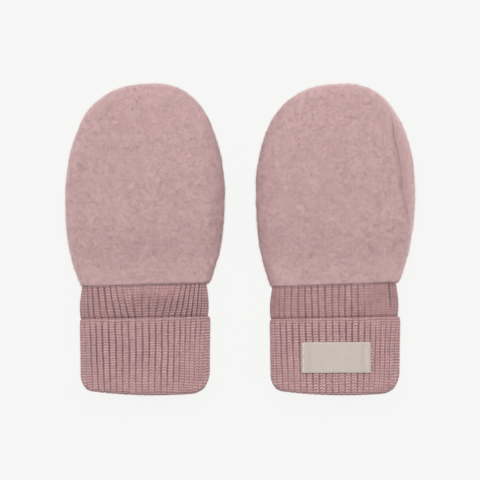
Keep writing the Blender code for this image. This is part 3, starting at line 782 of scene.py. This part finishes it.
def make_pile(name, skin, skin_shade, material, place):
    """Short wool fibres that lie in all directions on the skin, as many thin blades in one mesh."""
    rng = np.random.default_rng(len(name) + ord(name[0]))
    a, b = skin[:-1, :-1].reshape(-1, 3), skin[:-1, 1:].reshape(-1, 3)
    c, d = skin[1:, :-1].reshape(-1, 3), skin[1:, 1:].reshape(-1, 3)
    twice_area = np.linalg.norm(np.cross(b - a, c - a), axis=1)
    twice_area = twice_area + np.linalg.norm(np.cross(b - d, c - d), axis=1)
    middle = (a + b + c + d) / 4
    shows = twice_area * (middle[:, 2] > PILE_FROM)
    count = int(PILE_FIBRES * shows.sum() / (2 * PANEL_AREA))
    cell = rng.choice(len(shows), size=count, p=shows / shows.sum())
    s, t = rng.random((count, 1)), rng.random((count, 1))
    root = (a[cell] * (1 - s) + b[cell] * s) * (1 - t) + (c[cell] * (1 - s) + d[cell] * s) * t
    normal = unit(np.cross(c[cell] - a[cell], b[cell] - a[cell]))
    lean = rng.normal(size=(count, 3))
    for k in range(3):
        lean[:, k] += PILE_WAVES.amount * noise(root, PILE_WAVES.size, PILE_WAVES.seed + k)
    lean = unit(lean - normal * (lean * normal).sum(axis=1, keepdims=True))
    rise = rng.uniform(*PILE_RISE, (count, 1)) + STEEPER * (rng.random((count, 1)) < STEEPER_SHARE)
    way = lean * np.sqrt(1 - rise**2) + normal * rise
    length = PILE_LENGTH * rng.uniform(*LENGTH_RANGE, (count, 1))
    wide = unit(np.cross(way, normal) + normal * rng.normal(0, PILE_TWIST, (count, 1)))
    wide *= PILE_WIDTH / 2 * rng.uniform(*WIDTH_RANGE, (count, 1))
    root = root + normal * rng.uniform(*ROOT_RANGE, (count, 1))
    tip = root + way * length
    tip[:, 2] = np.maximum(tip[:, 2], PILE_LOWEST)
    root[:, 2] = np.maximum(root[:, 2], PILE_LOWEST)
    points = np.stack([root - wide, root + wide, tip], axis=1).reshape(-1, 3)
    faces = np.arange(3 * count).reshape(-1, 3).tolist()
    # Painted shade at the roots, lighter tips, random tone, and the skin's painted shade and highlights
    lit = 1 + PILE_SHADES * rng.normal(size=(count, 1)) + np.array([[ROOT_SHADE, ROOT_SHADE, TIP_LIGHT]])
    lit = lit * skin_shade[:-1, :-1].reshape(-1, 1)[cell]
    return make_piece(name, points, faces, material, place, lit)


def label_surface(mitten, u, depth, v):
    """Points of the label, whose edges stay straight where the cuff sags."""
    points = cuff_surface(mitten, share_above(u), depth, v, 0 * v)
    points[..., 1] = v + fold_lift(0.0) * (1 - v / LIFT_ENDS_AT) + LABEL_SLOPE * u
    return points


def label_top(mitten, u, v):
    """The label's upper side, a little thicker at its two folded ends."""
    depth = TURN_UP_OUTSIDE + SEAM_GAP + LABEL_THICKNESS + 0 * u
    from_end = np.minimum(u - LABEL_LEFT, LABEL_RIGHT - u)
    step_from, step_to = LABEL_FOLD - FOLD_STEP_WIDTH / 2, LABEL_FOLD + FOLD_STEP_WIDTH / 2
    depth = depth - FOLD_STEP * smooth(step_from, step_to, from_end)
    depth = depth - END_ROUNDING * hump(from_end, END_WIDTH)
    from_edge = np.minimum(v - LABEL_LOW, LABEL_HIGH - v)
    depth = depth - LONG_EDGE_ROUNDING * hump(from_edge, LONG_EDGE_WIDTH)
    top = label_surface(mitten, u, depth, v)
    top[..., 2] += waves(top, *LABEL_WAVES)
    return top


def make_label(mitten, material):
    """The bare woven label: a thin strip laid over the ribs, folded under at its two ends."""
    u = np.linspace(LABEL_LEFT, LABEL_RIGHT, LABEL_COLUMNS)[None, :]
    v = np.linspace(LABEL_LOW, LABEL_HIGH, LABEL_ROWS)[:, None]
    low = label_surface(mitten, u, TURN_UP_OUTSIDE + SEAM_GAP, v)
    top = label_top(mitten, u, v)
    outer = np.concatenate([low[:, :1], top, low[:, -1:]], axis=1)
    under = np.concatenate([low[:, :1], low, low[:, -1:]], axis=1)
    points = np.concatenate([under[:1], outer, under[-1:], under[::-1][1:-1]], axis=0)
    rows, columns = points.shape[:2]
    from_end = np.minimum(u - LABEL_LEFT, LABEL_RIGHT - u)
    # A line of painted shade at the foot of the step where each folded end stops
    past_fold = from_end - LABEL_FOLD - LABEL_LINE_PAST_FOLD
    shade = 1 - LABEL_LINE_SHADE * hump(past_fold, LABEL_LINE_WIDTH) + 0 * v
    shade = np.pad(shade, ((1, rows - 1 - LABEL_ROWS), (1, 1)), mode="edge")
    faces = grid_quads(rows, columns, True, False).tolist()
    place = mitten_place(mitten)
    piece = make_piece("right_label_woven", points.reshape(-1, 3), faces, material, place, shade, merge=True)
    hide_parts("right_label")


def make_label_stitches(mitten, material):
    """Short threads that hold the label by its ends, each one arched over the weave."""
    stitches = []
    for low, high in LEFT_STITCHES:
        stitches.append(((LABEL_LEFT + LEFT_STITCH_LOW, low), (LABEL_LEFT + LEFT_STITCH_HIGH, high)))
    heights = np.linspace(*RIGHT_STITCHES, RIGHT_STITCH_COUNT + 1)
    for i in range(RIGHT_STITCH_COUNT):
        near, far = ZIGZAG[::-1] if i % 2 else ZIGZAG
        stitches.append(((LABEL_RIGHT - near, heights[i]), (LABEL_RIGHT - far, heights[i + 1])))
    turn = np.linspace(0, 2 * math.pi, THREAD_SIDES + 1)[:-1]
    along = np.linspace(0, 1, THREAD_SECTIONS)
    arch = THREAD * (THREAD_ARCH * np.sin(math.pi * along) ** ARCH_POWER - THREAD_SUNK)
    thick = THREAD / 2 * (THREAD_END + (1 - THREAD_END) * np.sin(math.pi * along) ** THREAD_END_POWER)
    points, faces = [], []
    for first, last in stitches:
        u = first[0] + (last[0] - first[0]) * along
        v = first[1] + (last[1] - first[1]) * along
        middle = label_top(mitten, u, v)
        middle[:, 2] += arch
        way = np.array([last[0] - first[0], last[1] - first[1], 0.0])
        side = np.array([way[1], -way[0], 0.0]) / np.linalg.norm(way)
        round_it = np.cos(turn)[:, None] * side + np.sin(turn)[:, None] * np.array([0, 0, 1.0])
        start = sum(len(part) for part in points)
        points.append((middle[:, None] + thick[:, None, None] * round_it[None]).reshape(-1, 3))
        faces += (grid_quads(len(along), len(turn), False, True) + start).tolist()
        faces.append([start + i for i in range(len(turn))][::-1])
        faces.append([start + (len(along) - 1) * len(turn) + i for i in range(len(turn))])
    place = mitten_place(mitten)
    piece = make_piece("right_label_stitches", np.concatenate(points), faces, material, place)


def shader_of(material):
    """The shader that stands for the whole of a material."""
    return material.node_tree.nodes["Principled BSDF"]


def new_material(name, roughness):
    """A material with this roughness and little shine."""
    material = bpy.data.materials.new(name)
    material.use_nodes = True
    shader = shader_of(material)
    shader.inputs["Roughness"].default_value = roughness
    shader.inputs["Specular IOR Level"].default_value = SPECULAR
    return material


def add_noise(material, size, detail=2.0):
    """A noise texture in the object's own space, with features of about this size."""
    nodes, links = material.node_tree.nodes, material.node_tree.links
    where = nodes.new("ShaderNodeTexCoord")
    texture = nodes.new("ShaderNodeTexNoise")
    texture.inputs["Scale"].default_value = 1 / size
    texture.inputs["Detail"].default_value = detail
    links.new(where.outputs["Object"], texture.inputs["Vector"])
    return texture


def mottle(material, colour, layers, light=None):
    """Base colour times the piece's shade, and times each layer's noise, spread from dark to light.

    Where that is over 1, the light colour takes the base colour's place in what is over."""
    nodes, links = material.node_tree.nodes, material.node_tree.links
    shade = nodes.new("ShaderNodeAttribute")
    shade.attribute_name = "shade"
    level = shade.outputs["Fac"]
    for layer in layers:
        texture = add_noise(material, layer.size, layer.detail)
        spread = nodes.new("ShaderNodeMapRange")
        spread.inputs["From Min"].default_value = layer.low
        spread.inputs["From Max"].default_value = layer.high
        spread.inputs["To Min"].default_value = layer.dark
        spread.inputs["To Max"].default_value = layer.light
        links.new(texture.outputs["Fac"], spread.inputs["Value"])
        product = nodes.new("ShaderNodeMath")
        product.operation = "MULTIPLY"
        links.new(level, product.inputs[0])
        links.new(spread.outputs["Result"], product.inputs[1])
        level = product.outputs[0]
    tint = nodes.new("ShaderNodeVectorMath")
    tint.operation = "SCALE"
    tint.inputs[0].default_value = colour
    links.new(level, tint.inputs["Scale"])
    if light:
        over = nodes.new("ShaderNodeMath")
        over.operation = "SUBTRACT"
        over.inputs[1].default_value = 1.0
        links.new(level, over.inputs[0])
        above = nodes.new("ShaderNodeMath")
        above.operation = "MAXIMUM"
        above.inputs[1].default_value = 0.0
        links.new(over.outputs[0], above.inputs[0])
        paler = nodes.new("ShaderNodeVectorMath")
        paler.operation = "SCALE"
        paler.inputs[0].default_value = [b - a for a, b in zip(colour, light)]
        links.new(above.outputs[0], paler.inputs["Scale"])
        total = nodes.new("ShaderNodeVectorMath")
        total.operation = "ADD"
        links.new(tint.outputs["Vector"], total.inputs[0])
        links.new(paler.outputs["Vector"], total.inputs[1])
        tint = total
    links.new(tint.outputs["Vector"], shader_of(material).inputs["Base Color"])


def add_bump(material, size, height):
    """Fine bumps of about this size and height."""
    nodes, links = material.node_tree.nodes, material.node_tree.links
    bump = nodes.new("ShaderNodeBump")
    bump.inputs["Distance"].default_value = height
    links.new(add_noise(material, size).outputs["Fac"], bump.inputs["Height"])
    links.new(bump.outputs["Normal"], shader_of(material).inputs["Normal"])


def make_materials():
    """The materials of the fleece's wall, its pile, the rib knit, the label and its threads."""
    fleece = new_material("fleece_cloth", MATT)
    mottle(fleece, FLEECE_COLOUR, FLEECE_MOTTLE, FLEECE_LIGHT)
    add_bump(fleece, *FLEECE_BUMP)
    pile = new_material("fleece_pile", MATT)
    mottle(pile, FLEECE_COLOUR, FLEECE_MOTTLE, FLEECE_LIGHT)
    rib = new_material("rib_knit", MATT)
    mottle(rib, RIB_COLOUR, RIB_MOTTLE, RIB_LIGHT)
    add_bump(rib, *RIB_BUMP)
    woven = new_material("label_woven", LABEL_ROUGHNESS)
    mottle(woven, LABEL_COLOUR, LABEL_MOTTLE)
    add_bump(woven, *LABEL_BUMP)
    thread = new_material("label_thread", THREAD_ROUGHNESS)
    mottle(thread, THREAD_COLOUR, LABEL_MOTTLE)
    for material in (fleece, pile, rib):
        shader_of(material).inputs["Sheen Weight"].default_value = SHEEN
        shader_of(material).inputs["Sheen Roughness"].default_value = SHEEN_ROUGHNESS
    return fleece, pile, rib, woven, thread


def make_floor():
    """A pale floor with a low wall far away all round, behind which nothing shows."""
    mesh = bpy.data.meshes.new("floor")
    half = FLOOR_HALF_WIDTH
    corners = [(-half, -half, 0), (half, -half, 0), (half, half, 0), (-half, half, 0)]
    raised = [(x, y, FLOOR_WALL) for x, y, z in corners]
    walls = [(i, (i + 1) % 4, (i + 1) % 4 + 4, i + 4) for i in range(4)]
    mesh.from_pydata(corners + raised, [], [(0, 1, 2, 3)] + walls)
    material = new_material("floor_paper", MATT)
    shader_of(material).inputs["Base Color"].default_value = FLOOR_COLOUR
    shader_of(material).inputs["Emission Color"].default_value = FLOOR_GLOW_COLOUR
    shader_of(material).inputs["Emission Strength"].default_value = FLOOR_GLOW
    mesh.materials.append(material)
    floor = bpy.data.objects.new("floor", mesh)
    floor.location.z = -FLOOR_DROP
    bpy.context.scene.collection.objects.link(floor)


def add_area_light(name, location, size, power):
    """A square light that faces the middle of the floor."""
    light = bpy.data.lights.new(name, "AREA")
    light.size = size
    light.energy = power
    lamp = bpy.data.objects.new(name, light)
    lamp.location = location
    lamp.rotation_euler = (-Vector(location)).to_track_quat("-Z", "Y").to_euler()
    bpy.context.scene.collection.objects.link(lamp)


def light_scene():
    """Soft light from all round, from above and from both sides."""
    world = bpy.data.worlds.new("studio")
    world.use_nodes = True
    background = world.node_tree.nodes["Background"]
    background.inputs["Color"].default_value = SKY_COLOUR
    background.inputs["Strength"].default_value = SKY
    bpy.context.scene.world = world
    for softbox in SOFTBOXES:
        add_area_light(*softbox)


def add_camera():
    """The camera, straight above the mittens."""
    camera = bpy.data.cameras.new("camera")
    camera.sensor_width = SENSOR_WIDTH
    camera.lens = SENSOR_WIDTH * CAMERA_HEIGHT / FIELD
    camera.clip_end = CLIP_END
    holder = bpy.data.objects.new("camera", camera)
    holder.location = (0, CAMERA_SHIFT, CAMERA_HEIGHT)
    bpy.context.scene.collection.objects.link(holder)
    bpy.context.scene.camera = holder


def main():
    """Make the camera, the light, the floor and the pair of mittens."""
    bpy.context.scene.view_settings.view_transform = "Standard"
    add_camera()
    light_scene()
    make_floor()
    fleece, pile, rib, woven, thread = make_materials()
    for mitten in (LEFT, RIGHT):
        make_cuff(mitten, rib)
        for front in (True, False):
            make_panel(mitten, front, fleece, pile)
    make_label(RIGHT, woven)
    make_label_stitches(RIGHT, thread)


main()
